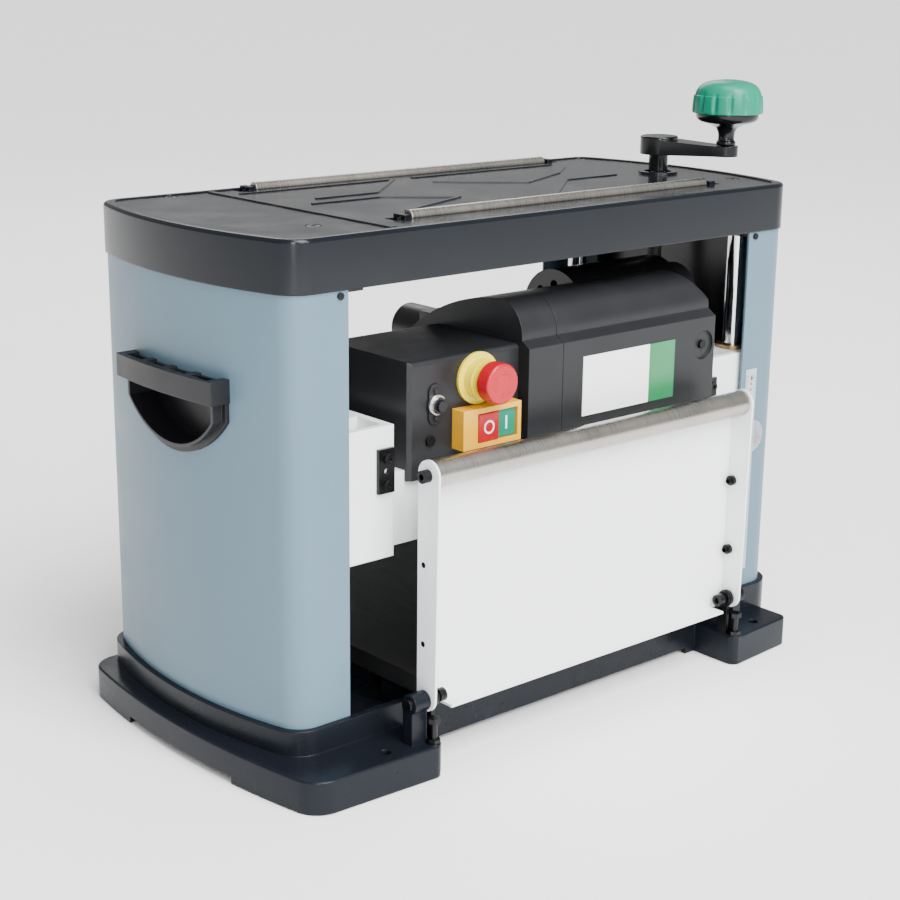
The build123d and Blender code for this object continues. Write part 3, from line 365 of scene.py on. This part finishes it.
# ---------------------------------------------------------------- crank knob
crank_x, crank_y = 0.222, -0.006
arm_reach, arm_angle = 0.060, radians(-67)
arm_x = crank_x + arm_reach * cos(arm_angle)
arm_y = crank_y + arm_reach * sin(arm_angle)
cap_profile = [(4.2, 448.6), (28.7, 448.6), (29.8, 449.1), (30.0, 450.6), (29.9, 453.6), (29.7, 457.6),
               (29.3, 461.2), (28.9, 463.4), (28.0, 463.9), (27.6, 465.2), (26.9, 467.2), (25.2, 470.0),
               (22.6, 472.4), (19.4, 474.0), (16.4, 475.0), (12.0, 475.8), (7.0, 476.4), (1.5, 476.7)]
cup_profile = [(4.2, 421.4), (7.6, 421.4), (8.2, 422.4), (8.3, 423.6), (8.0, 424.8), (7.1, 425.6),
               (6.9, 427.0), (6.9, 429.0), (7.1, 431.5), (7.7, 433.6), (9.0, 435.8), (11.0, 437.3),
               (14.0, 438.6), (17.4, 439.8), (21.5, 441.0), (24.6, 442.3), (26.1, 444.0), (26.6, 446.0),
               (26.6, 448.5), (4.2, 448.5)]
flutes, flute_depth = 14, 0.055
flute_top, flute_foot = 466.5, 449.1


def grip_waves(turn, height):
    """Finger flutes round the lower part of the knob's cap."""
    fade_up = min(1.0, max(0.0, (flute_top - height) / 4))
    fade_down = min(1.0, max(0.0, (height - flute_foot) / 2))
    depth = flute_depth * fade_up * fade_down
    return 1.0 - depth * max(0.0, cos(flutes * turn)) ** 2


turned("knob_green_cap", cap_profile, (arm_x, arm_y, 0), (0, 0, 1), "knob", looks["green_plastic"], steps=252,
       waist=grip_waves, slot="green_plastic", replaces=["knob_cap"])
turned("knob_black_cup", cup_profile, (arm_x, arm_y, 0), (0, 0, 1), "knob", looks["arm_black"], steps=128,
       slot="black_plastic", replaces=["knob_base"])

# ---------------------------------------------------------------- switchgear details
off_face, on_face = -132.0, -129.0
off_x, off_z, off_outer, off_inner = -86.8, 242.5, 5.2, 3.7
off_ring = [arc_points(off_x, off_z, off_outer, a, a + 90, 10)
            + arc_points(off_x, off_z, off_inner, a + 90, a, 10) for a in (0, 90, 180, 270)]
many_slabs("off_symbol", off_ring, off_face + 0.1, off_face - 0.12, "off_control", white_print)
many_slabs("on_symbol", [box_points(-68.1, -66.3, 237.4, 247.6)], on_face + 0.1, on_face - 0.12, "on_control",
           white_print)
stop_x, stop_z, stop_face = -87.5, 277.5, -147.0
many_slabs("stop_arrows", [
    arc_points(stop_x, stop_z, 9.8, a, a + 62, 12)
    + [(stop_x + 7.4 * cos(radians(a + 82)), stop_z + 7.4 * sin(radians(a + 82)))]
    + arc_points(stop_x, stop_z, 7.4, a + 62, a, 12)
    for a in (20, 140, 260)], stop_face + 0.1, stop_face - 0.1, "stop_control", looks["red_plastic"])

ring_profile = [(4.3, 1.4), (7.6, 1.4), (7.8, 1.7), (7.8, 3.4), (7.4, 3.9), (6.2, 4.0), (6.1, 5.6),
                (5.7, 6.0), (4.3, 6.0)]
breaker_place = (-0.1277, -0.118, 0.2634)
turned("breaker_ring", ring_profile, breaker_place, (0, -1, 0), "head", looks["zinc"], steps=48, slot="zinc")

# ---------------------------------------------------------------- scale print
strip_y = -123.0
strip_left, strip_right, strip_top = 215.2, 228.0, 236
inch, inch_zero = 25.4, 79.8
mm_zero, mm_count, inch_parts = 64, 172, 8
ticks = []
for step in range(0, mm_count):
    reach_in = 3.6 if step % 10 == 0 else 2.6 if step % 5 == 0 else 1.6
    ticks.append(box_points(strip_left, strip_left + reach_in, mm_zero + step - 0.12, mm_zero + step + 0.12))
for step in range(0, 54):
    reach_in = 4.2 if step % inch_parts == 0 else 2.8 if step % 4 == 0 else 1.6
    height = inch_zero + inch * step / inch_parts
    if height < strip_top:
        ticks.append(box_points(strip_right - reach_in, strip_right, height - 0.14, height + 0.14))
many_slabs("scale_ticks", ticks, strip_y + 0.05, strip_y - 0.08, "base", dark_print)
many_slabs("scale_warning_marks", [box_points(221.0, 223.0, z, z + 2.2) for z in range(206, strip_top, 5)]
           + [box_points(215.0, strip_right, 204.0, 204.5)], strip_y + 0.05, strip_y - 0.08, "base", red_print)
lens_back, lens_face = -127.15, -127.32
many_slabs("lens_line", [box_points(206.0, 233.5, 179.2, 179.8)], lens_back, lens_face, "head", red_print)


def digit(text, x, z, size):
    """A figure printed on the strip, as a flat mesh."""
    data = bpy.data.curves.new("digit_" + text, "FONT")
    data.body, data.size, data.extrude = text, size / 1000, 0.00004
    data.align_x, data.align_y = "CENTER", "CENTER"
    shape = bpy.data.objects.new("shape", data)
    mesh = bpy.data.meshes.new_from_object(shape)
    bpy.data.objects.remove(shape)
    mesh.materials.append(dark_print)
    mesh.transform(Matrix.Translation((x / 1000, (strip_y - 0.04) / 1000, z / 1000))
                   @ Matrix.Rotation(pi / 2, 4, "X"))
    made = bpy.data.objects.new("digit_" + text, mesh)
    bpy.context.scene.collection.objects.link(made)
    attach(made, "base")


for count in range(7):
    digit(str(count), 222.6, inch_zero + inch * count, 6.5)


# ---------------------------------------------------------------- floor, light
def area_light(name, place, target, size, power):
    """Soft box of a size in metres, at a place, turned to a target."""
    data = bpy.data.lights.new(name, "AREA")
    data.shape = "RECTANGLE"
    data.size, data.size_y = size
    data.energy = power
    lamp = bpy.data.objects.new(name, data)
    bpy.context.scene.collection.objects.link(lamp)
    lamp.location = place
    lamp.rotation_euler = (Vector(target) - Vector(place)).to_track_quat("-Z", "Y").to_euler()


area_light("strip", (-1.55, -2.0, 1.15), (0, 0, 0.25), (0.45, 1.9), 46)
area_light("front", (-0.1, -2.8, 1.5), (0, 0, 0.2), (1.8, 1.6), 92)
area_light("over", (0.2, -0.2, 2.7), (0, 0, 0.2), (1.4, 1.0), 30)
area_light("back", (1.6, 2.2, 1.7), (0, 0, 0.3), (1.6, 1.0), 16)

sun = bpy.data.objects.new("key", bpy.data.lights.new("key", "SUN"))
sun.data.energy, sun.data.angle = 6.0, radians(35)
sun.rotation_euler = Vector((-0.02, 0.60, -0.80)).to_track_quat("-Z", "Y").to_euler()
bpy.context.scene.collection.objects.link(sun)

world = bpy.data.worlds.new("studio")
world.use_nodes = True
world.node_tree.nodes["Background"].inputs["Color"].default_value = (1, 1, 1, 1)
world.node_tree.nodes["Background"].inputs["Strength"].default_value = 0.42
bpy.context.scene.world = world

floor_mesh = bpy.data.meshes.new("floor")
reach = 40.0
floor_mesh.from_pydata([(-reach, -reach, 0), (reach, -reach, 0), (reach, reach, 0), (-reach, reach, 0)], [],
                       [(0, 1, 2, 3)])
floor = bpy.data.objects.new("floor", floor_mesh)
bpy.context.scene.collection.objects.link(floor)
paper = Surface("paper")
floor_mesh.materials.append(paper.done(paper.mix(paper.ramp(paper.noise(3, 3), 0.3, 0.7, 0, 1),
                                                 rgb(0.90, 0.90, 0.90), rgb(0.92, 0.92, 0.92)), 0.8))
